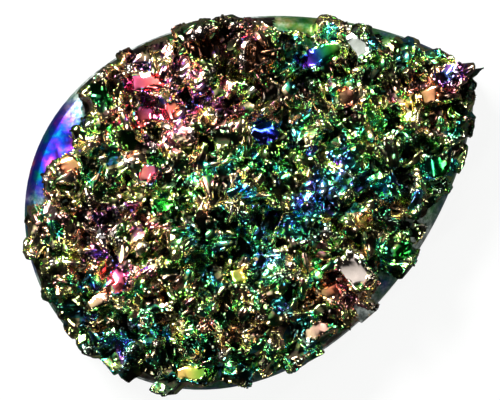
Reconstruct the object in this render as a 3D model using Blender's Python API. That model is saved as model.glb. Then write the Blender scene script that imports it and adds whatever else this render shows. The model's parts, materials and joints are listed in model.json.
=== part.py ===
"""A druzy stone cut to a pear outline and coated for colour.

One solid, because it grew as one piece: a sawn slab of matrix with a ground edge, and on it a crust of
blocky crystals, blades and short points that have grown into each other. The stone lies on its sawn back,
its pointed end along +X, and the origin is the middle of its footprint.
"""

import math
import random

import bmesh
import bpy
from mathutils import Matrix, Vector

MM = 0.001

# Driving dimensions, in metres.
LENGTH = 40.0 * MM  # from the blunt end to the point
WIDTH = 29.7 * MM  # across the widest place
PEAR_PEAK = 0.8624  # the most that sin(t) * sqrt(sin(t / 2)) reaches, so that WIDTH is met
OUTLINE_SIDES = 112

# The slab, as (how far inside the outline, height above the sawn back), from the back upwards.
SLAB_RINGS = (
    (0.45 * MM, 0.00 * MM),
    (0.00 * MM, 0.50 * MM),
    (0.30 * MM, 2.30 * MM),
    (0.70 * MM, 3.00 * MM),
    (2.30 * MM, 3.80 * MM),
    (6.00 * MM, 4.40 * MM),
    (11.00 * MM, 4.80 * MM),
)

# What the grinding left, as rings of the same kind. Crystals outside it are gone.
GRINDING_RINGS = (
    (0.00 * MM, -1.00 * MM),
    (0.00 * MM, 4.20 * MM),
    (1.60 * MM, 9.50 * MM),
)
GROUND_OFF = 0.12 * MM  # how far crystals stand proud of the outline where it was ground
ROUGH_OFF = 0.40 * MM  # and where it was left as broken
ROUGH_ARC = (206.0, 226.0)  # degrees about the origin, where it was left as broken
BARE_ARCS = (  # where grinding took the crust off the rim: from, to in degrees, share of the way out left
    (20.0, 57.0, 0.93),
    (126.0, 158.0, 0.86),
    (228.0, 252.0, 0.94),
    (280.0, 334.0, 0.94),
)

# The crust.
SITE_SPACING = 2.12 * MM  # between neighbouring crystals in a row
SITE_NUDGE = 0.26  # of the spacing, the most that a crystal stands off its row
CLEARANCE = 0.35 * MM  # least distance from a large crystal's side to the middle of a smaller one
CRUST_EDGE = 0.985  # how far out the crystals grow, as a share of the way to the outline
ROOT_DEPTH = 1.2 * MM  # how deep a crystal is rooted below the slab's face
BLOCK_SIZE = (1.15 * MM, 1.95 * MM)  # half widths, smallest and largest
BLADE_SHARE = 0.22  # of the crystals are thin blades
POINT_SHARE = 0.14  # and this many are six-sided points
POINT_SLIMNESS = 0.72  # a point's half width, as a share of a block's
SKEW = 0.4  # the most that a block's sides are pushed askew, as a slope
LEAN = (4.0, 42.0)  # degrees from upright, least and most
SEED = 11

# Large crystals with a broad flat face, as (x, y, height of the face, length, width in mm,
# turn of its length from +X, lean of the face, and the way it leans, in degrees).
BROAD_CRYSTALS = (
    (-4.6, 11.7, 5.6, 3.2, 1.9, -25, 14, 120),
    (-5.6, 9.2, 5.8, 2.2, 2.2, 30, 12, 60),
    (-3.7, 8.6, 5.9, 2.0, 1.7, -10, 16, 100),
    (-8.2, 12.3, 5.0, 1.6, 2.8, 10, 24, 200),
    (-7.7, 8.0, 6.6, 2.3, 2.4, 0, 26, 280),
    (1.3, 12.3, 6.2, 3.2, 2.5, 15, 30, 290),
    (4.8, 9.2, 6.9, 3.2, 3.0, 60, 24, 300),
    (0.1, 9.9, 6.4, 2.0, 1.9, 20, 18, 115),
    (12.4, 6.6, 5.9, 1.7, 2.9, -12, 17, 108),
    (13.9, 5.9, 6.2, 1.0, 3.4, 14, 38, 350),
    (9.4, 7.0, 5.7, 3.8, 1.7, -8, 20, 160),
    (-13.0, 8.3, 5.7, 2.0, 2.3, 30, 17, 110),
    (-15.8, 5.7, 5.2, 1.3, 2.4, 22, 15, 90),
    (-13.6, -1.7, 6.3, 2.7, 1.9, 35, 16, 110),
    (-15.6, -2.4, 5.7, 3.4, 1.1, 12, 20, 95),
    (-7.4, 4.7, 6.6, 2.2, 1.6, -30, 18, 120),
    (2.5, 3.6, 6.9, 2.2, 2.5, 70, 30, 30),
    (9.6, 3.2, 6.5, 1.9, 2.6, -20, 16, 60),
    (15.3, 0.2, 5.4, 3.6, 1.4, -3, 14, 100),
    (18.3, 0.7, 4.6, 2.2, 2.0, -30, 16, 60),
    (13.5, -5.3, 5.4, 2.8, 1.8, -32, 22, 330),
    (8.2, -10.2, 4.7, 1.9, 1.4, 10, 20, 300),
    (3.6, -9.7, 6.4, 2.6, 3.0, 15, 17, 108),
    (1.2, -10.3, 6.0, 1.9, 1.4, 0, 15, 80),
    (-1.1, -12.7, 5.0, 2.9, 1.3, 5, 18, 108),
    (-11.7, -11.2, 5.0, 3.2, 1.5, -30, 17, 105),
    (-13.7, -10.9, 4.1, 3.0, 1.9, 28, 19, 112),
    (-7.6, 2.0, 6.3, 2.2, 1.3, -18, 24, 200),
    (-4.6, -5.9, 6.6, 2.4, 1.6, 20, 18, 80),
)

COAT_COLOUR = (0.05, 0.16, 0.10, 1.0)
COAT_ROUGHNESS = 0.22
COAT_METALLIC = 1.0

FLAT_WITHIN = math.radians(1.0)  # facets this nearly in line are one


def outline_half_width(x):
    """Half the stone's width at x: an ellipse drawn out to a point at its +X end."""
    swing = math.acos(max(-1.0, min(1.0, x / (LENGTH / 2))))
    return WIDTH / 2 / PEAR_PEAK * math.sin(swing) * math.sqrt(math.sin(swing / 2))


def outline_point(turn, inset, height):
    """A point of the outline at the parameter turn, shrunk towards the origin by inset."""
    shrink = 1 - inset / (WIDTH / 2)
    x = LENGTH / 2 * math.cos(turn)
    y = math.copysign(outline_half_width(x), math.sin(turn))
    return Vector((x * shrink, y * shrink, height))


def way_out(x, y):
    """How far out (x, y) lies: 0 at the origin, 1 on the outline."""
    low, high = 0.01, 2.0
    for _ in range(30):
        share = (low + high) / 2
        outside = abs(x / share) > LENGTH / 2 or abs(y / share) > outline_half_width(x / share)
        low, high = (share, high) if outside else (low, share)
    return high


def face_height(x, y):
    """Height of the slab's domed face under (x, y)."""
    inset = (1 - way_out(x, y)) * WIDTH / 2
    for (outer, low), (inner, high) in zip(SLAB_RINGS[1:], SLAB_RINGS[2:]):
        if inset <= inner:
            return low + (high - low) * max(0.0, inset - outer) / (inner - outer)
    return SLAB_RINGS[-1][1]


def root_depth(x, y):
    """How deep a crystal there is rooted: less near the rim, where the slab's wall falls away."""
    return ROOT_DEPTH * (1.1 - 0.6 * way_out(x, y) ** 4)


def crust_edge(x, y):
    """How far out crystals grow in the direction of (x, y)."""
    bearing = math.degrees(math.atan2(y, x)) % 360
    for start, end, share in BARE_ARCS:
        if start <= bearing <= end:
            return share
    return CRUST_EDGE


def proud_of_outline(turn):
    """How far crystals may stand proud of the outline at the parameter turn."""
    bearing = math.degrees(turn) % 360
    return ROUGH_OFF if ROUGH_ARC[0] < bearing < ROUGH_ARC[1] else GROUND_OFF


def pear_loft(rings, proud):
    """A closed solid through pear-shaped rings, each given as (inset, height), set out by proud(turn)."""
    shape = bmesh.new()
    loops = []
    for inset, height in rings:
        circle = bmesh.ops.create_circle(shape, segments=OUTLINE_SIDES, radius=1.0)["verts"]
        for vert in circle:
            turn = math.atan2(vert.co.y, vert.co.x)
            vert.co = outline_point(turn, inset - proud(turn), height)
        loops.append(list({edge for vert in circle for edge in vert.link_edges}))
    for lower, upper in zip(loops, loops[1:]):
        bmesh.ops.bridge_loops(shape, edges=lower + upper)
    for end in (loops[0], loops[-1]):
        bmesh.ops.edgeloop_fill(shape, edges=end)
    bmesh.ops.recalc_face_normals(shape, faces=shape.faces)
    return shape


def sawn_slab():
    """The slab, from its sawn back up to its domed face."""
    return pear_loft(SLAB_RINGS, lambda turn: 0.0)


def ground_block():
    """What lay inside the grinding wheel's path."""
    return pear_loft(GRINDING_RINGS, proud_of_outline)


def slice_off(shape, point, normal):
    """Cuts away what lies beyond the plane and closes the cut with one flat face."""
    everything = shape.verts[:] + shape.edges[:] + shape.faces[:]
    bmesh.ops.bisect_plane(shape, geom=everything, plane_co=point, plane_no=normal, clear_outer=True)
    bmesh.ops.holes_fill(shape, edges=shape.edges, sides=0)


def facet(shape, normal, share):
    """Cuts a flat face square to normal, at that share of the crystal's reach along it."""
    reach = max(vert.co.dot(normal) for vert in shape.verts)
    slice_off(shape, normal * reach * share, normal)


def random_facet(shape, rng, raised, share):
    """Cuts a flat face at a random place round the crystal. Both ranges are (least, most)."""
    around = rng.uniform(0, 2 * math.pi)
    elevation = math.radians(rng.uniform(*raised))
    level = math.cos(elevation)
    normal = Vector((level * math.cos(around), level * math.sin(around), math.sin(elevation)))
    facet(shape, normal, rng.uniform(*share))


def box(length, width, tall, rng):
    """A box pushed askew."""
    shape = bmesh.new()
    stretch = Matrix.Diagonal((length / 2, width / 2, tall / 2, 1.0))
    skew = Matrix.Identity(4)
    skew[0][1] = rng.uniform(-SKEW, SKEW)
    bmesh.ops.create_cube(shape, size=2.0, matrix=skew @ stretch)
    return shape


def block(half, tall, rng):
    """A blocky crystal: a skewed box, its walls and its upper corners cut by flat faces."""
    shape = box(2 * half * rng.uniform(0.9, 1.35), 2 * half * rng.uniform(0.7, 1.15), tall, rng)
    for _ in range(2):
        random_facet(shape, rng, raised=(-12, 20), share=(0.60, 0.80))
    for _ in range(3):
        random_facet(shape, rng, raised=(32, 68), share=(0.58, 0.80))
    return shape


def blade(half, tall, rng):
    """A thin blade standing on edge, its top cut to a slant."""
    shape = box(2 * half * rng.uniform(1.0, 1.5), 2 * half * rng.uniform(0.28, 0.42), tall, rng)
    for side in (-1, 1):
        normal = Vector((side * rng.uniform(0.3, 0.9), rng.uniform(-0.6, 0.6), 1.0)).normalized()
        facet(shape, normal, rng.uniform(0.65, 0.85))
    return shape


def point(half, tall, rng):
    """A short six-sided prism, its top cut to a pyramid."""
    half *= POINT_SLIMNESS
    shape = bmesh.new()
    bmesh.ops.create_cone(shape, cap_ends=True, segments=6, radius1=half, radius2=half, depth=tall)
    tip = Vector((0, 0, tall / 2 + rng.uniform(0.0, 0.15) * half))
    for side in range(6):
        around = math.radians(60 * side + 30)
        slope = rng.uniform(0.7, 0.9)
        slice_off(shape, tip, Vector((math.cos(around), math.sin(around), slope)).normalized())
    return shape


def broad(length, width, tall, rng):
    """A large crystal whose top stays one broad flat face."""
    shape = box(length, width, tall, rng)
    for _ in range(3):
        random_facet(shape, rng, raised=(-10, 15), share=(0.66, 0.86))
    for _ in range(2):
        random_facet(shape, rng, raised=(20, 50), share=(0.74, 0.88))
    return shape


def rooted(shape, x, y, top, tall, turn, lean, bearing):
    """Turns the crystal about its own axis, leans it towards bearing and sets its top at height top."""
    tilt = Matrix.Rotation(lean, 4, Vector((-math.sin(bearing), math.cos(bearing), 0)))
    up = tilt.to_3x3() @ Vector((0, 0, 1))
    centre = Vector((x, y, top)) - up * tall / 2
    placed = Matrix.Translation(centre) @ tilt @ Matrix.Rotation(turn, 4, "Z")
    bmesh.ops.transform(shape, matrix=placed, verts=shape.verts)
    bmesh.ops.recalc_face_normals(shape, faces=shape.faces)
    return shape


def broad_crystals():
    """The large crystals, each with one broad flat face."""
    rng = random.Random(SEED)
    made = []
    for x, y, top, length, width, turn, lean, bearing in BROAD_CRYSTALS:
        x, y, top = x * MM, y * MM, top * MM
        tall = top - face_height(x, y) + root_depth(x, y)
        shape = broad(length * MM, width * MM, tall, rng)
        made.append(rooted(shape, x, y, top, tall, *map(math.radians, (turn, lean, bearing))))
    return made


def crowded(x, y):
    """Whether (x, y) lies under one of the large crystals."""
    return any(
        math.hypot(x - bx * MM, y - by * MM) < 0.21 * (length + width) * MM + CLEARANCE
        for bx, by, _, length, width, *_ in BROAD_CRYSTALS
    )


def crust_sites(rng):
    """Where the smaller crystals stand: staggered rows over the slab's face, each site nudged."""
    row_gap = SITE_SPACING * math.sqrt(3) / 2
    rows = int(WIDTH / row_gap) + 2
    columns = int(LENGTH / SITE_SPACING) + 2
    for row in range(-rows // 2, rows // 2 + 1):
        for column in range(-columns // 2, columns // 2 + 1):
            x = (column + 0.5 * (row % 2) + rng.uniform(-SITE_NUDGE, SITE_NUDGE)) * SITE_SPACING
            y = row * row_gap + rng.uniform(-SITE_NUDGE, SITE_NUDGE) * SITE_SPACING
            if way_out(x, y) < crust_edge(x, y) and not crowded(x, y):
                yield x, y


def crust_crystals():
    """The smaller crystals between the large ones, lower and slighter towards the rim."""
    rng = random.Random(SEED + 1)
    made = []
    for x, y in list(crust_sites(rng)):
        out = way_out(x, y)
        half = BLOCK_SIZE[0] + (BLOCK_SIZE[1] - BLOCK_SIZE[0]) * rng.random() ** 2
        half *= 1.0 - 0.42 * out**5
        rise = rng.uniform(0.7, 1.6) * half * (1.05 - 0.45 * out**3)
        kind = rng.random()
        lean = math.radians(rng.uniform(*LEAN))
        bearing = rng.uniform(0, 2 * math.pi)
        turn = rng.uniform(0, math.pi)
        tall = rise + root_depth(x, y)
        if kind < BLADE_SHARE:
            shape = blade(half, tall, rng)
        elif kind < BLADE_SHARE + POINT_SHARE:
            shape = point(half, tall, rng)
        else:
            shape = block(half, tall, rng)
        top = face_height(x, y) + rise * math.cos(lean)
        made.append(rooted(shape, x, y, top, tall, turn, lean, bearing))
    return made


def gathered(shapes):
    """All the crystals in one bmesh, still overlapping."""
    cluster = bmesh.new()
    for shape in shapes:
        loose = bpy.data.meshes.new("crystal")
        shape.to_mesh(loose)
        shape.free()
        cluster.from_mesh(loose)
        bpy.data.meshes.remove(loose)
    return cluster


def new_object(name, shape, collection):
    """The bmesh as an object of its own in the collection."""
    mesh = bpy.data.meshes.new(name)
    shape.to_mesh(mesh)
    shape.free()
    made = bpy.data.objects.new(name, mesh)
    collection.objects.link(made)
    return made


def boolean(target, operation, other):
    """Adds a Boolean with the other object to the target."""
    step = target.modifiers.new(operation.lower(), "BOOLEAN")
    step.operation = operation
    step.solver = "EXACT"
    step.use_self = True
    step.object = other


def evaluated_shape(target):
    """The target with its modifiers applied, as a bmesh."""
    bpy.context.view_layer.update()
    graph = bpy.context.evaluated_depsgraph_get()
    mesh = bpy.data.meshes.new_from_object(target.evaluated_get(graph))
    shape = bmesh.new()
    shape.from_mesh(mesh)
    bpy.data.meshes.remove(mesh)
    return shape


def shells_of(shape):
    """The shape's separate shells, each as a set of vertices."""
    waiting = set(shape.verts)
    shells = []
    while waiting:
        shell, front = set(), [waiting.pop()]
        while front:
            vert = front.pop()
            shell.add(vert)
            for link in vert.link_edges:
                other = link.other_vert(vert)
                if other in waiting:
                    waiting.discard(other)
                    front.append(other)
        shells.append(shell)
    return shells


def without_pockets(shape):
    """Drops the shells that close off pockets inside the crust, so that one closed surface is left."""
    shells = shells_of(shape)
    stone = max(shells, key=len)
    inner = [vert for shell in shells if shell is not stone for vert in shell]
    bmesh.ops.delete(shape, geom=inner, context="VERTS")
    return shape


def flat_faces(shape):
    """Joins what lies in one plane into single facets, then triangulates them."""
    bmesh.ops.dissolve_limit(shape, angle_limit=FLAT_WITHIN, verts=shape.verts, edges=shape.edges)
    bmesh.ops.triangulate(shape, faces=shape.faces)
    return shape


def centred(shape):
    """Moves the middle of the stone's footprint to the origin, with the sawn back at height 0."""
    low, high = (Vector(map(pick, zip(*(vert.co for vert in shape.verts)))) for pick in (min, max))
    middle = Vector(((low.x + high.x) / 2, (low.y + high.y) / 2, low.z))
    bmesh.ops.translate(shape, verts=shape.verts, vec=-middle)
    return shape


def coat_material():
    """The metal coat, dark green where no film colour shows."""
    material = bpy.data.materials.new("coated crust")
    material.use_nodes = True
    shader = material.node_tree.nodes["Principled BSDF"]
    shader.inputs["Base Color"].default_value = COAT_COLOUR
    shader.inputs["Roughness"].default_value = COAT_ROUGHNESS
    shader.inputs["Metallic"].default_value = COAT_METALLIC
    material.diffuse_color = COAT_COLOUR
    return material


def main():
    for old in list(bpy.data.objects):
        bpy.data.objects.remove(old)
    parts = bpy.data.collections.new("druzy stone")
    helpers = bpy.data.collections.new("helpers")
    for collection in (parts, helpers):
        bpy.context.scene.collection.children.link(collection)

    slab = new_object("slab", sawn_slab(), helpers)
    crust = new_object("crust", gathered(broad_crystals() + crust_crystals()), helpers)
    ground = new_object("ground block", ground_block(), helpers)
    boolean(slab, "UNION", crust)
    boolean(slab, "INTERSECT", ground)
    grown = without_pockets(evaluated_shape(slab))
    for helper in (slab, crust, ground):
        bpy.data.objects.remove(helper)

    stone = new_object("druzy_stone", centred(flat_faces(grown)), parts)
    stone.data.materials.append(coat_material())


main()
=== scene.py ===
import math
import bpy
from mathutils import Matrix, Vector
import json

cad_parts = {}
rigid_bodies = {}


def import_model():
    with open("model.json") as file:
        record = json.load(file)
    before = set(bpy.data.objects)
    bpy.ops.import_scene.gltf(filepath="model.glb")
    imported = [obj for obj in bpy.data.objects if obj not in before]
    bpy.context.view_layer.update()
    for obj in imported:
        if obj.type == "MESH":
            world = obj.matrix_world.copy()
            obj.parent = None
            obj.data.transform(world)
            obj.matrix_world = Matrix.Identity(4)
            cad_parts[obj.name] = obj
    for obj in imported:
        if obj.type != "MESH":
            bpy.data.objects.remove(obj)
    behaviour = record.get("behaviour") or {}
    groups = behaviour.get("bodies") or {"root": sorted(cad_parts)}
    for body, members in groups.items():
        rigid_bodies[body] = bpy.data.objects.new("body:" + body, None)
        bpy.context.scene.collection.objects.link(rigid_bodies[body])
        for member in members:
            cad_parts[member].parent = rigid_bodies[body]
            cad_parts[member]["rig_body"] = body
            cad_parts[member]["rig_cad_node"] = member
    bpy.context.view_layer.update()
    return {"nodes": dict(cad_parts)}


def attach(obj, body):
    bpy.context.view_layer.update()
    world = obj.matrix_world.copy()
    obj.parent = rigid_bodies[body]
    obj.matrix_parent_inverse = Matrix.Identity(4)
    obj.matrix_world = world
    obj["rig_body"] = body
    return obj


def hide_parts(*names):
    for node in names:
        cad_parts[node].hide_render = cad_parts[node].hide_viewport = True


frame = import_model()
mm = 0.001


# ---------- small helpers for operators and node trees

def deselectAll():
    if bpy.context.object and bpy.context.object.mode != "OBJECT":
        bpy.ops.object.mode_set(mode="OBJECT")
    bpy.ops.object.select_all(action="DESELECT")


def takeHold(piece):
    deselectAll()
    piece.select_set(True)
    bpy.context.view_layer.objects.active = piece
    return piece


def addAndApply(piece, kind, name, **settings):
    takeHold(piece)
    modifier = piece.modifiers.new(name, kind)
    for key, value in settings.items():
        setattr(modifier, key, value)
    bpy.ops.object.modifier_apply(modifier=modifier.name)


class Nodes:
    # adds nodes to a tree and links them as it goes
    def __init__(self, tree):
        self.tree = tree

    def plug(self, source, socket):
        if isinstance(source, bpy.types.Node):
            source = next(s for s in source.outputs if s.enabled)
        if isinstance(source, bpy.types.NodeSocket):
            self.tree.links.new(source, socket)
        else:
            socket.default_value = source

    def add(self, kind, inputs=None, **settings):
        node = self.tree.nodes.new(kind)
        for key, value in settings.items():
            setattr(node, key, value)
        for key, source in (inputs or {}).items():
            if isinstance(key, int):
                socket = node.inputs[key]
            else:
                socket = next(s for s in node.inputs if s.enabled and s.name == key)
            self.plug(source, socket)
        return node

    def math(self, operation, *values):
        return self.add("ShaderNodeMath", dict(enumerate(values)), operation=operation).outputs[0]

    def minus(self, a, b):
        return self.math("SUBTRACT", a, b)

    def above(self, value, limit):
        return self.math("GREATER_THAN", value, limit)

    def most(self, a, b):
        return self.math("MAXIMUM", a, b)

    def sum(self, *values):
        total = values[0]
        for value in values[1:]:
            total = self.math("ADD", total, value)
        return total

    def times(self, *values):
        total = values[0]
        for value in values[1:]:
            total = self.math("MULTIPLY", total, value)
        return total

    def vector(self, operation, a, b=None, scale=None):
        node = self.add("ShaderNodeVectorMath", {0: a} if b is None else {0: a, 1: b}, operation=operation)
        if scale is not None:
            self.plug(scale, node.inputs["Scale"])
        return node.outputs["Value" if operation in ("LENGTH", "DISTANCE", "DOT_PRODUCT") else "Vector"]

    def fade(self, value, low, high, toLow=0.0, toHigh=1.0, smooth=True):
        return self.add("ShaderNodeMapRange", {"Value": value, "From Min": low, "From Max": high,
                        "To Min": toLow, "To Max": toHigh},
                        interpolation_type="SMOOTHSTEP" if smooth else "LINEAR").outputs["Result"]

    def noise(self, where, size, detail=2.0, roughness=0.5, output="Fac"):
        return self.add("ShaderNodeTexNoise", {"Vector": where, "Scale": 1.0 / size, "Detail": detail,
                        "Roughness": roughness}).outputs[output]

    def along(self, where, axis):
        return self.add("ShaderNodeSeparateXYZ", {0: where}).outputs[axis]

    def awayFrom(self, where, x, y):
        return self.vector("DISTANCE", self.vector("MULTIPLY", where, (1, 1, 0)), (x, y, 0))

    def named(self, name):
        return self.add("GeometryNodeInputNamedAttribute", {"Name": name}, data_type="FLOAT").outputs[0]

    def keep(self, geometry, name, value, domain="POINT"):
        return self.add("GeometryNodeStoreNamedAttribute", {"Geometry": geometry, "Name": name,
                        "Value": value}, data_type="FLOAT", domain=domain).outputs[0]

    def shift(self, geometry, direction, length):
        return self.add("GeometryNodeSetPosition", {"Geometry": geometry,
                        "Offset": self.vector("SCALE", direction, scale=length)}).outputs[0]

    def placeInMm(self):
        return self.vector("SCALE", self.add("GeometryNodeInputPosition"), scale=1000.0)

    def mixColours(self, share, a, b):
        return self.add("ShaderNodeMix", {"Factor": share, "A": a, "B": b}, data_type="RGBA").outputs[2]


# ---------- camera: straight above, turned so that the point of the pear lies to the upper right

shot = {
    "turn": -27.0,             # degrees
    "above": (-1.11, -0.82),   # mm, the point of the frame under the middle of the picture
    "width": 40.735,           # mm seen across the picture at the crust
    "lens": 200.0,             # mm
    "sensor": 36.0,            # mm
    "clip": (0.001, 10.0),     # m
    "focusHeight": 5.0,        # mm
}


def makeCamera():
    distance = shot["width"] * shot["lens"] / shot["sensor"]
    bpy.ops.object.camera_add(location=(shot["above"][0] * mm, shot["above"][1] * mm,
                                        (distance + shot["focusHeight"]) * mm),
                              rotation=(0.0, 0.0, math.radians(shot["turn"])))
    camera = bpy.context.object
    camera.name = "camera"
    camera.data.lens = shot["lens"]
    camera.data.sensor_width = shot["sensor"]
    camera.data.clip_start, camera.data.clip_end = shot["clip"]
    bpy.context.scene.camera = camera
    print("camera ready")


# ---------- studio

studio = {
    "floorColour": (0.93, 0.935, 0.93, 1.0),
    "floorShade": 0.10,         # how much of the floor's light comes from the lamps and so shows the shadow
    "floorGlow": 0.95,          # and how much from a lit table under it
    "floorRoughness": 0.9,
    "floorSpecular": 0.1,
    "floorSize": 1.2,           # m
    "floorDrop": 0.02,          # mm below the stone, so that the two don't share a plane
    "worldSeen": 1.0,           # what the camera sees past the floor
    "worldReflected": 0.014,    # what the crystals reflect where no light is
    "tableReflected": 0.06,     # and what they reflect of the table
    "tableEdge": (0.05, -0.15),    # upward part of the direction where the table's glow begins and is full
    # a large dim panel round the key: heading, lean, reach and full part in degrees, brightness
    "panel": (108, 48, 42, 10, 0.95),
    "aim": 4.0,                 # mm above the floor, where the lamps point
    # heading and lean from straight up in degrees, distance, width and height in mm, brightness
    "lights": [
        ("key softbox", 106, 54, 170, 84, 30, 84.0),
        ("fill softbox", -35, 50, 190, 60, 16, 16.0),
        ("left softbox", 200, 50, 190, 22, 60, 26.0),
        ("right softbox", 22, 54, 200, 22, 60, 22.0),
    ],
}


def towards(heading, lean):
    h, l = math.radians(heading), math.radians(lean)
    return Vector((math.sin(l) * math.cos(h), math.sin(l) * math.sin(h), math.cos(l)))


def makeStudio():
    bpy.ops.mesh.primitive_plane_add(size=studio["floorSize"], location=(0, 0, -studio["floorDrop"] * mm))
    floor = bpy.context.object
    floor.name = "floor"
    material = bpy.data.materials.new("pale paper")
    material.use_nodes = True
    shader = material.node_tree.nodes["Principled BSDF"]
    shade = studio["floorShade"]
    shader.inputs["Base Color"].default_value = [c * shade for c in studio["floorColour"][:3]] + [1.0]
    shader.inputs["Roughness"].default_value = studio["floorRoughness"]
    shader.inputs["Specular IOR Level"].default_value = studio["floorSpecular"]
    shader.inputs["Emission Color"].default_value = studio["floorColour"]
    shader.inputs["Emission Strength"].default_value = studio["floorGlow"]
    floor.data.materials.append(material)
    floor.visible_glossy = False

    world = bpy.data.worlds.new("studio")
    world.use_nodes = True
    bpy.context.scene.world = world
    world.node_tree.nodes.clear()
    n = Nodes(world.node_tree)
    path = n.add("ShaderNodeLightPath")
    seen = n.add("ShaderNodeBackground", {"Color": (1, 1, 1, 1), "Strength": studio["worldSeen"]})
    way = n.add("ShaderNodeTexCoord").outputs["Generated"]
    heading, lean, reach, full, brightness = studio["panel"]
    panel = n.fade(n.vector("DOT_PRODUCT", way, towards(heading, lean)), math.cos(math.radians(reach)),
                   math.cos(math.radians(full)), 0.0, brightness)
    table = n.fade(n.along(way, "Z"), *studio["tableEdge"], studio["worldReflected"],
                   studio["tableReflected"])
    reflected = n.add("ShaderNodeBackground", {"Color": (1, 1, 1, 1), "Strength": n.sum(panel, table)})
    mix = n.add("ShaderNodeMixShader", {0: path.outputs["Is Camera Ray"], 1: reflected, 2: seen})
    n.add("ShaderNodeOutputWorld", {"Surface": mix})

    target = Vector((0.0, 0.0, studio["aim"] * mm))
    for name, heading, lean, distance, width, height, brightness in studio["lights"]:
        way = towards(heading, lean)
        light = bpy.data.lights.new(name, "AREA")
        light.shape = "RECTANGLE"
        light.size, light.size_y = width * mm, height * mm
        light.energy = brightness * light.size * light.size_y * math.pi      # brightness is its radiance
        lamp = bpy.data.objects.new(name, light)
        lamp.location = target + way * distance * mm
        lamp.rotation_euler = way.to_track_quat("Z", "Y").to_euler()
        bpy.context.scene.collection.objects.link(lamp)
    view = bpy.context.scene.view_settings
    view.view_transform = "Standard"
    view.look = "None"
    bpy.context.scene.cycles.use_denoising = True
    print("studio ready")


# ---------- the stone's skin: bowls where crystals broke away, small dents and grain

skin = {
    "voxel": 0.105,          # mm
    "warp": (3.0, 2.6),     # size and strength in mm of the wandering of the cells
    "bowls": (2.1, 0.50),   # cell size and depth in mm
    "dents": (0.9, 0.07),
    "grain": (0.30, 0.08),
    "hollow": (1.35, 2.2),  # how wide a hollow opens and how sharp the ridge round it is
    "dentPatches": (2.6, 0.42, 0.60),    # size of the noise in mm, values where dents begin and are full
    "dentShift": (31.0, 7.0, 3.0),       # mm, keeps that noise apart from the grain's
    "grainPatches": (2.2, 0.55, 0.60),   # the same for the grain off the ridges
    "crustHeight": (2.9, 4.0),    # mm, where the ground rim ends and the crust begins
    "coveredHeight": (1.6, 2.6),  # the same where the rim was not ground bare
    "rimFade": (-0.1, 1.2, 0.25),    # mm inside the outline where relief begins and is full, and its start
    "arcFade": 3.0,         # degrees over which a bare arc ends, to either side
    "halfLength": 20.0,     # mm, of the pear's outline
    "halfWidth": 14.85,
    "pearPeak": 0.8624,     # the most that sin(t) * sqrt(sin(t / 2)) reaches
    "levelSteps": 70,       # how far round a place its level is compared
    "ridges": (0.02, 0.20),    # mm above its surroundings, where fine grain and sugar begin and are full
    "faceEdge": (0.7, 1.5),    # size in mm and strength of the raggedness of a smooth face
    "faceFade": 0.25,       # how softly a smooth face ends in the relief
    "flattened": 0.75,      # share of the relief that a smooth face loses
    "keptOff": (1.0, 0.5),     # share of smooth face that keeps crystals off, and that lets them on
    "broken": 0.3,          # faces painted less bright than this keep their relief
    "smoothAngle": 50.0,    # degrees
    "mostTriangles": 190000,
}

# crystals with a smooth broad face: x, y, length, width in mm, turn of the length in degrees, the film's
# thickness at its two ends, how bright the coat is painted on it (painted shade below 1) and how far it is
# painted pale as a white highlight
smoothFaces = [
    (-4.6, 11.7, 3.4, 1.6, -25, 0.12, 0.04, 1.0, 0.0),
    (-5.6, 9.2, 2.3, 1.6, 30, 0.04, 0.13, 1.0, 0.0),
    (-3.7, 8.6, 2.1, 1.5, -10, 0.10, 0.00, 1.0, 0.0),
    (-8.2, 12.3, 1.6, 2.6, 10, 0.50, 0.55, 0.6, 0.0),
    (-7.7, 8.0, 1.8, 1.4, 50, 0.66, 0.56, 0.29, 0.0),
    (1.3, 12.3, 3.0, 2.4, 15, 0.95, 0.95, 0.12, 0.0),
    (4.8, 9.2, 3.0, 2.8, 60, 0.93, 0.93, 0.15, 0.0),
    (12.4, 6.6, 1.6, 2.8, -12, 0.55, 0.60, 1.0, 0.85),
    (9.4, 7.0, 3.7, 1.6, -8, 0.20, 0.64, 0.9, 0.0),
    (-13.0, 8.3, 1.7, 2.0, 30, 0.98, 0.86, 0.8, 0.0),
    (-15.8, 5.7, 1.2, 2.2, 22, 1.04, 0.96, 0.9, 0.6),
    (-13.6, -1.7, 2.5, 1.5, 35, 0.04, 0.12, 1.0, 0.0),
    (-15.6, -2.4, 3.0, 1.0, 12, 0.82, 0.96, 1.0, 0.3),
    (-7.4, 4.7, 1.8, 1.4, -30, 0.03, 0.12, 0.9, 0.1),
    (2.5, 3.6, 2.0, 2.3, 70, 0.26, 0.35, 1.0, 0.0),
    (9.6, 3.2, 1.2, 1.7, -20, 0.86, 0.98, 0.8, 0.1),
    (15.3, 0.2, 3.2, 1.3, -3, 0.79, 0.95, 1.0, 0.0),
    (13.5, -5.3, 2.6, 1.6, -32, 0.45, 0.56, 0.9, 0.0),
    (8.2, -10.2, 1.8, 1.3, 10, 0.58, 0.54, 1.0, 0.0),
    (3.6, -9.7, 2.2, 2.6, 15, 0.90, 0.90, 1.0, 0.8),
    (1.2, -10.3, 1.8, 1.3, 0, 0.84, 1.02, 1.0, 0.0),
    (-1.1, -12.7, 2.2, 1.0, 5, 0.84, 0.98, 1.0, 0.4),
    (-11.7, -11.2, 2.8, 1.3, -30, 0.82, 0.66, 1.0, 0.0),
    (-7.6, 2.0, 2.1, 1.2, -18, 0.56, 0.60, 0.8, 0.0),
    (-4.6, -5.9, 1.8, 1.1, 20, 0.70, 0.80, 1.0, 0.0),
]

# where crystals stand out over the outline: x, y, reach in mm, and how far, in their own half widths
outcrops = [(5.5, 12.4, 1.8, 1.15), (19.2, 0.3, 1.3, 1.15)]

# where the rim is ground bare: headings in degrees from, to
bareArcs = [(20, 57), (126, 158), (-132, -108), (-80, -26)]


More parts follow.
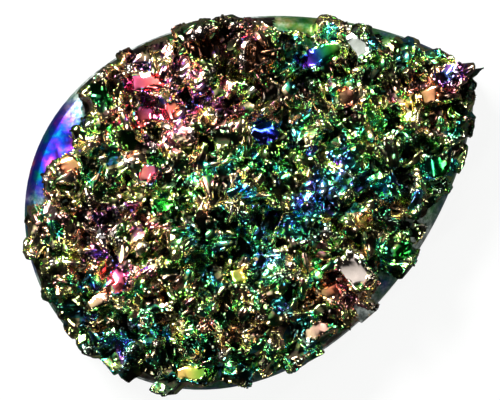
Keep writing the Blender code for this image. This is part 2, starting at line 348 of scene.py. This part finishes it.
def newGeometryTree(name):
    tree = bpy.data.node_groups.new(name, "GeometryNodeTree")
    tree.interface.new_socket("Geometry", in_out="INPUT", socket_type="NodeSocketGeometry")
    tree.interface.new_socket("Geometry", in_out="OUTPUT", socket_type="NodeSocketGeometry")
    return tree


def wandering(n, where):
    # the place, moved about so that straight cell walls become curved ones
    wander = n.vector("SUBTRACT", n.noise(where, skin["warp"][0], output="Color"), (0.5, 0.5, 0.5))
    return n.vector("ADD", where, n.vector("SCALE", wander, scale=skin["warp"][1]))


def cells(n, where, size):
    return n.add("ShaderNodeTexVoronoi", {"Vector": where, "Scale": 1.0 / size}, feature="F1")


def faceShare(n, where, face, soft):
    # 1 on a smooth face seen from above, fading out at its edge, and how far along its length the place is
    x, y, length, width, turn = face[:5]
    near = n.add("ShaderNodeVectorRotate", {"Vector": n.vector("SUBTRACT", where, (x, y, 0.0)),
                 "Angle": math.radians(-turn)}, rotation_type="Z_AXIS")
    flat = n.vector("MULTIPLY", near, (2.0 / length, 2.0 / width, 0.0))
    size, strength = skin["faceEdge"]
    ragged = n.times(n.minus(n.noise(where, size, 2.0), 0.5), strength)
    share = n.fade(n.sum(n.vector("LENGTH", flat), ragged), 1.0 + soft, 1.0 - soft)
    return share, n.along(flat, "X")


def onBareRim(n, where):
    # 1 at the headings where the rim is bare
    heading = n.times(n.math("ARCTAN2", n.along(where, "Y"), n.along(where, "X")), math.degrees(1.0))
    bare = 0.0
    for first, last in bareArcs:
        off = n.math("ABSOLUTE", n.minus(heading, 0.5 * (first + last)))
        reach = 0.5 * (last - first)
        bare = n.most(bare, n.fade(off, reach + skin["arcFade"], reach - skin["arcFade"]))
    return bare


def insetFromRim(n, where):
    # how far inside the pear's outline a place lies, in mm
    x, y = n.along(where, "X"), n.along(where, "Y")
    along = n.math("MINIMUM", n.most(n.times(x, 1.0 / skin["halfLength"]), -1.0), 1.0)
    swing = n.math("ARCCOSINE", along)
    halfWidth = n.times(n.math("SINE", swing), n.math("SQRT", n.math("SINE", n.times(swing, 0.5))),
                        skin["halfWidth"] / skin["pearPeak"])
    fromSides = n.minus(halfWidth, n.math("ABSOLUTE", y))
    fromEnds = n.minus(skin["halfLength"], n.math("ABSOLUTE", x))
    return n.math("MINIMUM", fromSides, fromEnds)


def patches(n, where, settings, detail):
    size, low, high = settings
    return n.fade(n.noise(where, size, detail), low, high)


def standingProud(n):
    # 1 on the ridges between the bowls
    return n.fade(n.named("proud"), *skin["ridges"])


def reliefTree():
    tree = newGeometryTree("crust relief")
    n = Nodes(tree)
    start = n.add("NodeGroupInput")
    where = n.placeInMm()
    normal = n.add("GeometryNodeInputNormal")
    height = n.along(where, "Z")
    wandered = wandering(n, where)

    def hollows(size, depth):
        opening, sharpness = skin["hollow"]
        rise = n.math("POWER", n.times(cells(n, wandered, size).outputs["Distance"], opening), sharpness)
        return n.times(n.minus(rise, 0.5), depth)

    dented = patches(n, n.vector("ADD", where, skin["dentShift"]), skin["dentPatches"], 2.0)
    lift = n.sum(hollows(*skin["bowls"]), n.times(hollows(*skin["dents"]), dented))
    covered = n.times(n.fade(height, *skin["coveredHeight"]), n.minus(1.0, onBareRim(n, where)))
    crust = n.most(n.fade(height, *skin["crustHeight"]), covered)
    crustOnly = n.times(crust, n.fade(insetFromRim(n, where), *skin["rimFade"], 1.0))
    smooth = 0.0
    for face in smoothFaces:
        if face[7] > skin["broken"]:
            smooth = n.most(smooth, faceShare(n, where, face, skin["faceFade"])[0])
    lift = n.times(lift, crustOnly, n.minus(1.0, n.times(smooth, skin["flattened"])), mm)
    current = start.outputs[0]
    for name, size in (("bowl", skin["bowls"][0]), ("dent", skin["dents"][0])):
        mark = n.along(cells(n, wandered, size).outputs["Color"], "X")
        current = n.keep(current, name, mark, "FACE")
    current = n.keep(current, "crust", n.times(crust, n.fade(smooth, *skin["keptOff"])))
    moved = n.shift(current, normal, lift)
    # how far each place stands above what lies round it, in mm
    level = n.along(n.add("GeometryNodeInputPosition"), "Z")
    around = n.add("GeometryNodeBlurAttribute", {"Value": level, "Iterations": skin["levelSteps"]},
                   data_type="FLOAT")
    moved = n.keep(moved, "proud", n.times(n.minus(level, around), 1000.0))
    rough = n.times(n.most(patches(n, where, skin["grainPatches"], 3.0), standingProud(n)),
                    n.named("crust"))
    grained = n.shift(moved, normal, n.times(hollows(*skin["grain"]), rough, mm))
    n.add("NodeGroupOutput", {0: grained})
    return tree


def makeSkin():
    source = frame["nodes"]["druzy_stone"]
    stone = source.copy()
    stone.data = source.data.copy()
    stone.parent = None
    stone.name = "coated_stone"
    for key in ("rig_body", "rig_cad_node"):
        if key in stone:
            del stone[key]
    bpy.context.scene.collection.objects.link(stone)
    takeHold(stone)
    stone.data.materials.clear()
    bpy.ops.object.mode_set(mode="EDIT")
    bpy.ops.mesh.select_all(action="SELECT")
    bpy.ops.mesh.remove_doubles(threshold=1e-7)
    bpy.ops.object.mode_set(mode="OBJECT")
    addAndApply(stone, "REMESH", "even skin", mode="VOXEL", voxel_size=skin["voxel"] * mm)
    addAndApply(stone, "NODES", "relief", node_group=reliefTree())
    print("skin", len(stone.data.polygons))
    return stone


def thinOut(piece, most):
    triangles = sum(len(face.vertices) - 2 for face in piece.data.polygons)
    if triangles > most:
        addAndApply(piece, "DECIMATE", "thin out", ratio=most / triangles)
    print(piece.name, len(piece.data.polygons))


# ---------- crests: the thin rounded edges between the bowls, which catch the light

crests = {
    # which cells, how much of their walls has a crest, radius in mm least and most
    "kinds": [("bowl", 0.36, 0.06, 0.17), ("dent", 0.56, 0.03, 0.06)],
    "step": 0.2,        # mm between points
    "smoothing": 8,
    "sides": 5,
    "lowest": 3.6,      # mm, no crests below this height
    "differ": 1e-5,     # how unlike the marks of two faces are where a wall runs between them
    "patches": 1.7,     # mm, size of the noise that says which walls have one
    "waver": (0.8, 0.3, 0.7),    # size in mm of the noise, its values where a crest is least and most thick
}


def crestTree():
    tree = newGeometryTree("crests")
    n = Nodes(tree)
    start = n.add("NodeGroupInput")
    where = n.placeInMm()
    height = n.along(where, "Z")
    crust = n.named("crust")

    def overFaces(value):
        return n.add("GeometryNodeFieldOnDomain", {"Value": value}, domain="FACE",
                     data_type="FLOAT").outputs[0]

    joined = n.add("GeometryNodeJoinGeometry")
    tubes = []
    for name, share, thin, thick in crests["kinds"]:
        # an edge lies on a wall where the marks of the faces at it differ
        mark = n.named(name)
        onFaces = overFaces(mark)
        spread = n.minus(overFaces(n.times(mark, mark)), n.times(onFaces, onFaces))
        onWall = n.above(spread, crests["differ"])
        kept = n.above(n.noise(where, crests["patches"], 2.0), share)
        high = n.above(height, crests["lowest"])
        chosen = n.above(n.times(onWall, kept, high, n.above(crust, 0.5)), 0.5)
        lines = n.add("GeometryNodeMeshToCurve", {"Mesh": start.outputs[0], "Selection": chosen})
        place = n.add("GeometryNodeInputPosition")
        blurred = n.add("GeometryNodeBlurAttribute", {"Value": place, "Iterations": crests["smoothing"]},
                        data_type="FLOAT_VECTOR")
        smooth = n.add("GeometryNodeSetPosition", {"Geometry": lines, "Position": blurred})
        even = n.add("GeometryNodeResampleCurve", {"Curve": smooth, "Length": crests["step"] * mm},
                     mode="LENGTH")
        size, least, full = crests["waver"]
        radius = n.fade(n.noise(where, size, 1.0), least, full, thin * mm, thick * mm)
        ring = n.add("GeometryNodeCurvePrimitiveCircle", {"Resolution": crests["sides"], "Radius": 1.0})
        tubes.append(n.add("GeometryNodeCurveToMesh", {"Curve": even, "Profile Curve": ring,
                           "Scale": radius, "Fill Caps": True}))
    for tube in tubes:
        tree.links.new(tube.outputs[0], joined.inputs[0])
    n.add("NodeGroupOutput", {0: joined})
    return tree


def makeCrests(stone):
    piece = stone.copy()
    piece.data = stone.data.copy()
    piece.name = "thin_crests"
    bpy.context.scene.collection.objects.link(piece)
    addAndApply(piece, "NODES", "crests", node_group=crestTree())
    print("crests", len(piece.data.polygons))
    return piece


# ---------- small crystals scattered over the crust in patches

scatters = {
    # crystals to the mm2, least distance between two and from the outline in mm, half widths in mm, where
    # they grow (size of the noise in mm, values where they begin and are full, share elsewhere), their lean
    # in radians, how they are bent (size and strength in mm) and the width of their bevels
    "broken_crystals": {
        "perSquareMm": 1.2, "apart": 0.8, "inset": 1.9, "size": (0.40, 1.10),
        "patch": (3.0, 0.40, 0.50, 0.20), "lean": 0.6, "bend": (1.6, 0.35), "bevel": 0.09,
        "onRidges": False, "seed": 3,
    },
    "small_crystals": {
        "perSquareMm": 2.4, "apart": 0.30, "inset": 0.15, "size": (0.12, 0.30),
        "patch": (3.0, 0.44, 0.54, 0.20), "lean": 0.7, "bend": (1.0, 0.1), "bevel": 0.0,
        "onRidges": True, "seed": 6,
    },
    "sugar_crystals": {
        "perSquareMm": 18.0, "apart": 0.12, "inset": -0.1, "size": (0.05, 0.115),
        "patch": (2.2, 0.44, 0.52, 0.25), "lean": 0.6, "bend": (1.0, 0.0), "bevel": 0.0,
        "onRidges": True, "seed": 4,
    },
}

# the kinds of crystal that are scattered, in their own half widths
crystals = {
    # name, sides, width, height, the way the cutting face looks, width of the tip
    "kinds": [
        ("point", 6, 0.8, 2.6, (0.5, 0.2, 1.0), 0.25),
        ("block", 4, 0.8, 1.9, (0.3, 0.3, 1.0), 0.8),
        ("blade", 4, 0.32, 2.4, (0.2, 0.7, 1.0), 0.8),
        ("chip", 5, 0.55, 2.0, (-0.8, 0.3, 1.0), 0.6),
        ("tip", 5, 0.9, 2.2, (-0.6, 0.1, 1.0), 0.1),
    ],
    "sunk": 0.8,            # how deep they stand in the crust
    "cutOff": 0.5,          # how far below the top the cutting face runs
    "fullTurn": 6.28,       # radians
    "smoothAngle": 55.0,    # degrees, of the bevelled ones
    "kindSeed": 5, "turnSeed": 8, "sizeSeed": 2,
}


def crystalShape(name, sides, width, tall, slant, tip, bevel):
    # one small crystal standing on its origin: a prism drawn in to its tip, cut by a slanting face
    deselectAll()
    sunk = crystals["sunk"]
    bpy.ops.mesh.primitive_cone_add(vertices=sides, radius1=1.0, radius2=tip, depth=tall,
                                    location=(0, 0, 0.5 * tall - sunk))
    crystal = bpy.context.object
    crystal.name = name
    bpy.ops.object.mode_set(mode="EDIT")
    bpy.ops.mesh.select_all(action="SELECT")
    bpy.ops.transform.resize(value=(width, 1.0, 1.0))
    bpy.ops.mesh.bisect(plane_co=(0, 0, tall - sunk - crystals["cutOff"]), plane_no=slant, use_fill=True,
                        clear_outer=True)
    if bevel:
        bpy.ops.mesh.select_all(action="SELECT")
        bpy.ops.mesh.bevel(offset=bevel, segments=1, affect="EDGES")
    bpy.ops.object.mode_set(mode="OBJECT")
    bpy.ops.object.transform_apply()
    return crystal


def scatterTree(name, kinds, settings):
    tree = newGeometryTree(name)
    n = Nodes(tree)
    start = n.add("NodeGroupInput")
    where = n.placeInMm()
    least, largest = settings["size"]
    inset = n.minus(insetFromRim(n, where), n.times(onBareRim(n, where), largest))
    for x, y, reach, stand in outcrops:
        inset = n.sum(inset, n.fade(n.awayFrom(where, x, y), reach, 0.5 * reach, 0.0, largest * stand))
    size, low, high, elsewhere = settings["patch"]
    patch = n.times(n.fade(n.noise(where, size, 3.0), low, high, elsewhere, 1.0),
                    n.above(inset, settings["inset"]))
    if settings["onRidges"]:
        patch = n.times(patch, standingProud(n))
    spread = n.add("GeometryNodeDistributePointsOnFaces", {"Mesh": start.outputs[0],
                   "Density Max": settings["perSquareMm"] * 1e6,
                   "Density Factor": n.times(patch, n.named("crust")),
                   "Distance Min": settings["apart"] * mm, "Seed": settings["seed"]},
                   distribute_method="POISSON")
    pick = n.add("FunctionNodeRandomValue", {"Min": 0, "Max": len(kinds) - 1, "Seed": crystals["kindSeed"]},
                 data_type="INT")
    shapes = n.add("GeometryNodeCollectionInfo", {"Separate Children": True, "Reset Children": True})
    shapes.inputs["Collection"].default_value = kinds[0].users_collection[0]
    lean = settings["lean"]
    spin = n.add("FunctionNodeRandomValue", {"Min": (-lean, -lean, 0.0),
                 "Max": (lean, lean, crystals["fullTurn"]), "Seed": crystals["turnSeed"]},
                 data_type="FLOAT_VECTOR")
    turned = n.add("FunctionNodeRotateRotation", {"Rotation": spread.outputs["Rotation"],
                   "Rotate By": spin.outputs[0]}, rotation_space="LOCAL")
    scale = n.add("FunctionNodeRandomValue", {"Min": least * mm, "Max": largest * mm,
                  "Seed": crystals["sizeSeed"]}, data_type="FLOAT")
    placed = n.add("GeometryNodeInstanceOnPoints", {"Points": spread.outputs["Points"], "Instance": shapes,
                   "Pick Instance": True, "Instance Index": pick.outputs[2], "Rotation": turned,
                   "Scale": scale.outputs[1]})
    real = n.add("GeometryNodeRealizeInstances", {"Geometry": placed})
    size, strength = settings["bend"]
    wander = n.vector("SUBTRACT", n.noise(where, size, 1.0, output="Color"), (0.5, 0.5, 0.5))
    n.add("NodeGroupOutput", {0: n.shift(real, wander, strength * mm)})
    return tree


def makeScatters(stone):
    pieces = []
    for name, settings in scatters.items():
        kinds = bpy.data.collections.new("crystal kinds")
        bpy.context.scene.collection.children.link(kinds)
        shapes = [crystalShape(*kind, settings["bevel"]) for kind in crystals["kinds"]]
        for crystal in shapes:
            for owner in list(crystal.users_collection):
                owner.objects.unlink(crystal)
            kinds.objects.link(crystal)
        piece = stone.copy()
        piece.data = stone.data.copy()
        piece.name = name
        bpy.context.scene.collection.objects.link(piece)
        addAndApply(piece, "NODES", name, node_group=scatterTree(name, shapes, settings))
        print(name, sum(len(face.vertices) - 2 for face in piece.data.polygons))
        if settings["bevel"]:
            takeHold(piece)
            bpy.ops.object.shade_smooth_by_angle(angle=math.radians(crystals["smoothAngle"]))
        pieces.append(piece)
        for crystal in shapes:
            bpy.data.objects.remove(crystal)
        bpy.data.collections.remove(kinds)
    return pieces


# ---------- finishes

# the film's colours as its thickness grows, from rose round to rose
filmColours = [
    (0.00, (0.84, 0.44, 0.30)),
    (0.06, (0.86, 0.34, 0.36)),
    (0.14, (0.62, 0.22, 0.46)),
    (0.22, (0.28, 0.13, 0.60)),
    (0.31, (0.07, 0.17, 0.58)),
    (0.39, (0.05, 0.36, 0.50)),
    (0.48, (0.05, 0.48, 0.30)),
    (0.58, (0.12, 0.54, 0.14)),
    (0.68, (0.46, 0.64, 0.18)),
    (0.79, (0.82, 0.70, 0.32)),
    (0.90, (0.90, 0.62, 0.40)),
    (1.00, (0.84, 0.44, 0.30)),
]

# places with a film of their own: x, y, reach in mm, the film's thickness there and how far it holds
coatZones = [
    (-4.0, 10.4, 5.2, 1.00, 0.85),     # rose field
    (3.0, 10.4, 3.6, 0.93, 0.7),
    (-12.4, 1.6, 4.4, 0.97, 0.8),      # rose and brown at the left
    (-15.5, 7.5, 3.2, 0.66, 0.6),
    (-17.0, -3.0, 3.5, 0.56, 0.6),
    (-8.0, 5.0, 3.0, 0.66, 0.5),
    (0.5, 7.6, 3.4, 0.90, 0.6),
    (4.0, -1.8, 4.0, 0.46, 0.7),       # greens and blues in the middle
    (-3.6, -3.2, 4.5, 0.53, 0.6),
    (9.2, -4.4, 3.2, 0.50, 0.7),
    (-4.5, -10.0, 5.0, 0.62, 0.6),
    (8.5, -9.5, 3.5, 0.62, 0.7),
    (2.5, -10.5, 1.8, 0.90, 0.7),
    (9.5, 3.0, 3.2, 0.78, 0.7),
    (9.5, 9.5, 3.0, 0.66, 0.7),
    (15.5, 0.5, 4.2, 0.80, 0.7),
    (18.5, 0.6, 1.8, 1.03, 0.9),
    (17.0, 4.6, 2.2, 0.46, 0.8),
    (14.0, -5.5, 2.2, 0.56, 0.8),
    (-17.5, -7.5, 2.5, 0.38, 0.7),
    (-10.0, -12.0, 3.5, 0.70, 0.7),
]

# places where shade is painted into the crust's coat: x, y, reach in mm and how bright the coat is painted
# there
darkZones = [
    (2.4, 11.4, 2.6, 0.30),
    (4.8, 9.0, 1.8, 0.30),
    (-12.4, 3.4, 2.4, 0.25),
    (-3.6, -3.4, 4.2, 0.60),
    (11.5, -2.9, 1.8, 0.45),
    (8.4, -7.4, 1.6, 0.45),
    (-2.6, -10.4, 1.8, 0.45),
    (-14.6, -9.8, 2.6, 0.50),
    (-17.5, -2.6, 2.6, 0.50),
    (-8.0, 0.0, 2.0, 0.55),
    (3.5, 5.6, 2.0, 0.50),
]

# the same for the ground rim, which is bare between them
rimZones = [
    (-14.5, 10.8, 5.0, 0.26, 1.0),
    (-18.8, 5.0, 3.5, 0.34, 0.9),
    (-19.5, -1.0, 3.0, 0.45, 0.4),
    (12.0, 9.0, 6.0, 0.64, 0.75),
    (18.0, 3.5, 2.5, 0.44, 0.7),
    (-9.0, -14.0, 5.0, 0.40, 0.75),
    (14.0, -8.0, 3.0, 0.52, 0.6),
    (7.0, -12.0, 2.5, 0.42, 0.6),
]

coat = {
    "thickness": 0.72,      # of the film where no zone says otherwise
    "drift": (5.0, 0.40),   # size in mm and strength of its slow change
    "perCrystal": (1.2, 0.50),
    "grain": (0.3, 0.24),
    "zoneEdge": (1.3, 0.5),    # of a zone's reach, where it ends and where it is full
    "darkEdge": (1.3, 0.6),
    # colour of the painted cream glints on the ridges and of the painted white highlights on smooth faces
    "glintColour": (0.74, 0.73, 0.70, 1.0),
    "roughness": (0.07, 0.20),
    "glossPatches": (1.6, 0.35, 0.65),    # size of the noise in mm, values where it is glossy and dull
    "clearCoat": (0.5, 0.05),    # weight and roughness of the clear layer on top
    "proud": (-0.26, 0.14, 0.05, 1.42),    # mm under and over its surroundings, and how bright the coat is painted there: painted shade in hollows, painted light on crests
    "ridge": (0.10, 0.45),  # mm over its surroundings where the ridges' own film begins and is full
    "ridgeFilm": (0.81, 0.30),    # the film on them and how far it holds
    "ridgeGlint": 0.42,      # how pale the coat is painted on them: a painted cream glint along the ridges
    "tone": (1.7, 0.42, 0.51, 0.14),    # size in mm, thresholds and darkness of its dull patches
    "faceFade": 0.1,        # how softly a smooth face's own film ends
    "faceSpan": 0.8,        # share of a smooth face's length over which its film changes
    "faceDepth": 1.3,       # how bright its deep colour is
}


def zoned(n, where, zones, film):
    # the film's thickness after each zone has had its say, and how much of the place is in any zone
    covered = 0.0
    end, full = coat["zoneEdge"]
    for x, y, reach, thickness, hold in zones:
        share = n.fade(n.awayFrom(where, x, y), end * reach, full * reach, 0.0, hold)
        film = blend(n, share, film, thickness)
        covered = n.most(covered, share)
    return film, covered


def filmOver(n, where):
    # the film's thickness at a place, in turns of its colours
    wandered = wandering(n, where)
    film = zoned(n, wandered, coatZones, coat["thickness"])[0]
    size, strength = coat["drift"]
    film = n.sum(film, n.times(n.minus(n.noise(where, size, 1.0), 0.5), strength))
    for size, strength in (coat["perCrystal"], coat["grain"]):
        chance = n.minus(n.along(cells(n, wandered, size).outputs["Color"], "Y"), 0.5)
        film = n.sum(film, n.times(chance, strength))
    return film


def shadeOver(n, where):
    # painted shade: the coat's brightness is taken down round each of these places
    shade = 1.0
    end, full = coat["darkEdge"]
    for x, y, reach, brightness in darkZones:
        shade = n.times(shade, n.fade(n.awayFrom(where, x, y), end * reach, full * reach, 1.0, brightness))
    return shade


def blend(n, share, here, there):
    return n.sum(here, n.times(share, n.minus(there, here)))


def deepened(n, colour, brightness):
    return n.vector("SCALE", n.vector("MULTIPLY", colour, colour), scale=brightness)


def rampOf(n, value, stops):
    ramp = n.add("ShaderNodeValToRGB", {0: value})
    while len(ramp.color_ramp.elements) < len(stops):
        ramp.color_ramp.elements.new(0.5)
    for element, (at, colour) in zip(ramp.color_ramp.elements, stops):
        element.position = at
        element.color = (*colour, 1.0)
    return ramp.outputs["Color"]


def newMaterial(name):
    material = bpy.data.materials.new(name)
    material.use_nodes = True
    material.node_tree.nodes.clear()
    n = Nodes(material.node_tree)
    where = n.vector("SCALE", n.add("ShaderNodeTexCoord").outputs["Object"], scale=1000.0)
    return material, n, where


def coatMaterial():
    material, n, where = newMaterial("rainbow coat")
    film = filmOver(n, where)
    proud = n.add("ShaderNodeAttribute", attribute_name="proud").outputs["Fac"]
    ridgeFilm, hold = coat["ridgeFilm"]
    film = blend(n, n.fade(proud, *coat["ridge"], 0.0, hold), film, ridgeFilm)
    # painted glint: the coat on the ridges is painted paler, as a cream glint
    pale = n.fade(proud, *coat["ridge"], 0.0, coat["ridgeGlint"])
    size, first, last, dull = coat["tone"]
    # painted light and shade: the coat is painted dark in hollows and bright on crests, dulled in random
    # patches, and darkened in the painted shade zones
    tone = n.times(n.fade(proud, *coat["proud"]), n.fade(n.noise(where, size, 3.0), first, last, dull, 1.0),
                   shadeOver(n, wandering(n, where)))
    onFace = 0.0
    for face in smoothFaces:
        # each face's painted brightness, painted shade where below 1, and its painted white highlight
        start, end, paintedBrightness, paintedGlintHere = face[5:]
        share, along = faceShare(n, where, face, coat["faceFade"])
        film = blend(n, share, film, n.fade(along, -coat["faceSpan"], coat["faceSpan"], start, end))
        tone = blend(n, share, tone, paintedBrightness)
        pale = n.most(pale, n.times(share, paintedGlintHere))
        onFace = n.most(onFace, share)
    coloured = rampOf(n, n.math("FRACT", n.sum(film, 1.0)), filmColours)
    coloured = n.mixColours(onFace, coloured, deepened(n, coloured, coat["faceDepth"]))
    # the painted glints and white highlights mix the coat towards a pale colour
    colour = n.mixColours(pale, n.vector("SCALE", coloured, scale=tone), coat["glintColour"])
    size, glossy, matt = coat["glossPatches"]
    roughness = n.fade(n.noise(where, size, 2.0), glossy, matt, *coat["roughness"])
    weight, clearRoughness = coat["clearCoat"]
    shader = n.add("ShaderNodeBsdfPrincipled", {"Base Color": colour, "Metallic": 1.0,
                   "Roughness": roughness, "Coat Weight": weight, "Coat Roughness": clearRoughness})
    n.add("ShaderNodeOutputMaterial", {"Surface": shader})
    return material


rim = {
    "thickness": 0.5,            # of the film where no zone says otherwise
    "clouds": (1.5, 0.4, 0.75),  # size in mm, how far drawn out up the wall, strength
    "filmDepth": 0.9,            # how bright the film's deep colour is
    "streaks": (0.5, 0.3),       # size in mm and how far drawn out
    "greys": [(0.34, (0.03, 0.04, 0.036)), (0.50, (0.20, 0.24, 0.22)), (0.66, (0.60, 0.66, 0.62))],
    "metallic": (0.8, 0.25),     # share of film at which it is full, and what it is on bare stone
    "roughness": 0.45,
}


def groundMaterial():
    # the rim, ground smooth and thinly coated: streaky grey stone with the film's colours in places
    material, n, where = newMaterial("ground rim")
    film, covered = zoned(n, where, rimZones, rim["thickness"])
    size, drawn, strength = rim["clouds"]
    clouds = n.noise(n.vector("MULTIPLY", where, (1.0, 1.0, drawn)), size, 3.0, 0.55)
    film = n.math("FRACT", n.sum(film, n.times(n.minus(clouds, 0.5), strength), 1.0))
    tinted = deepened(n, rampOf(n, film, filmColours), rim["filmDepth"])
    size, drawn = rim["streaks"]
    streaks = n.noise(n.vector("MULTIPLY", where, (1.0, 1.0, drawn)), size, 4.0, 0.65)
    colour = n.mixColours(covered, rampOf(n, streaks, rim["greys"]), tinted)
    full, least = rim["metallic"]
    metallic = n.fade(covered, 0.0, full, least, 1.0, False)
    shader = n.add("ShaderNodeBsdfPrincipled", {"Base Color": colour, "Metallic": metallic,
                   "Roughness": rim["roughness"]})
    n.add("ShaderNodeOutputMaterial", {"Surface": shader})
    return material


back = {
    "marks": (1.2, 2.0),    # saw marks to the mm and how far they stray
    "grit": 0.35,           # mm
    "shares": (0.8, 0.2),   # of grit and marks in the stone's tone
    "greys": [(0.25, (0.015, 0.014, 0.013)), (0.55, (0.055, 0.052, 0.048)), (0.8, (0.16, 0.15, 0.14))],
    "relief": (0.3, 0.05),  # strength, and depth in mm
    "roughness": 0.72,
}


def sawnMaterial():
    # the sawn back: dull dark stone with fine saw marks
    material, n, where = newMaterial("sawn back")
    scale, stray = back["marks"]
    marks = n.add("ShaderNodeTexWave", {"Vector": where, "Scale": scale, "Distortion": stray,
                  "Detail": 2.0}, bands_direction="X").outputs["Fac"]
    ofGrit, ofMarks = back["shares"]
    tone = n.sum(n.times(n.noise(where, back["grit"], 4.0, 0.6), ofGrit), n.times(marks, ofMarks))
    strength, depth = back["relief"]
    bump = n.add("ShaderNodeBump", {"Height": tone, "Strength": strength, "Distance": depth * mm})
    shader = n.add("ShaderNodeBsdfPrincipled", {"Base Color": rampOf(n, tone, back["greys"]),
                   "Roughness": back["roughness"], "Normal": bump})
    n.add("ShaderNodeOutputMaterial", {"Surface": shader})
    return material


# where one finish ends and the next begins: heights in mm, and the upward part of a face's normal
borders = {
    "back": (0.6, -0.5),         # lower than this and facing down more than this
    "bareRim": 3.0,
    "bareLedge": (3.75, 0.55),   # lower than this and facing up more than this
    "wall": 1.7,
}


def isBare(x, y):
    heading = math.degrees(math.atan2(y, x))
    return any(first <= heading <= last for first, last in bareArcs)


def assignStone(stone):
    # coat on the crust, ground rim and sawn back elsewhere
    for material in (coatMaterial(), groundMaterial(), sawnMaterial()):
        stone.data.materials.append(material)
    backHeight, facingDown = borders["back"]
    ledgeHeight, facingUp = borders["bareLedge"]
    for face in stone.data.polygons:
        x, y, height = face.center / mm
        upward = face.normal.z
        onLedge = height < ledgeHeight and upward > facingUp
        if upward < facingDown and height < backHeight:
            face.material_index = 2
        elif isBare(x, y) and (height < borders["bareRim"] or onLedge):
            face.material_index = 1
        elif height < borders["wall"]:
            face.material_index = 1


makeCamera()
makeStudio()
stone = makeSkin()
crestPiece = makeCrests(stone)
scattered = makeScatters(stone)
thinOut(stone, skin["mostTriangles"])
assignStone(stone)
takeHold(stone)
bpy.ops.object.shade_smooth_by_angle(angle=math.radians(skin["smoothAngle"]))
takeHold(crestPiece)
bpy.ops.object.shade_smooth()
for piece in [crestPiece] + scattered:
    piece.data.materials.clear()
    piece.data.materials.append(stone.data.materials[0])
for piece in [stone, crestPiece] + scattered:
    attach(piece, "root")
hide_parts("druzy_stone")
